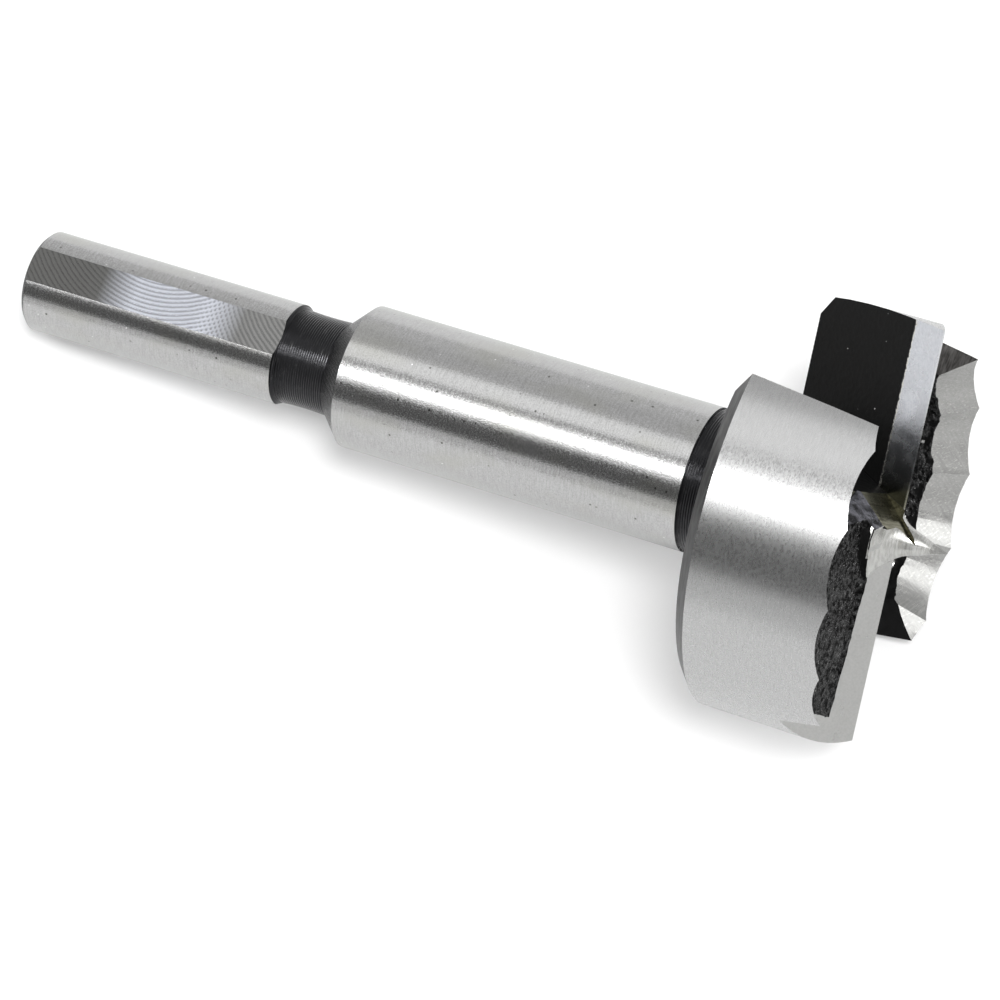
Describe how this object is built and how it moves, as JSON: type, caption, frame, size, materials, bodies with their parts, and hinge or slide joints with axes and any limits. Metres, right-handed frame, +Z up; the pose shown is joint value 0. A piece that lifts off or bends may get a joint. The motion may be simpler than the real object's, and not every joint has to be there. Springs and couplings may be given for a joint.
{
  "type": "forstner bit",
  "caption": "Forstner drill bit with a scalloped wave rim, chisel-edged lifters, a ground centre point and a round shank with chuck flats.",
  "frame": {"origin": "centre of the bounding box at its base, on the surface the bit lies on", "axes": "+X from the shank's end towards the head and its centre point, +Y across, +Z up; the bit lies on the head's rim and on its shank's end, so its axis rises 11 degrees towards +X"},
  "size_m": [0.0936, 0.04, 0.0417],
  "materials": {
    "steel": "ground tool steel, satin with fine turning marks; the neck, collar and pockets are black oxide"
  },
  "bodies": {
    "root": {"forstner_bit": "steel"}
  },
  "joints": []
}
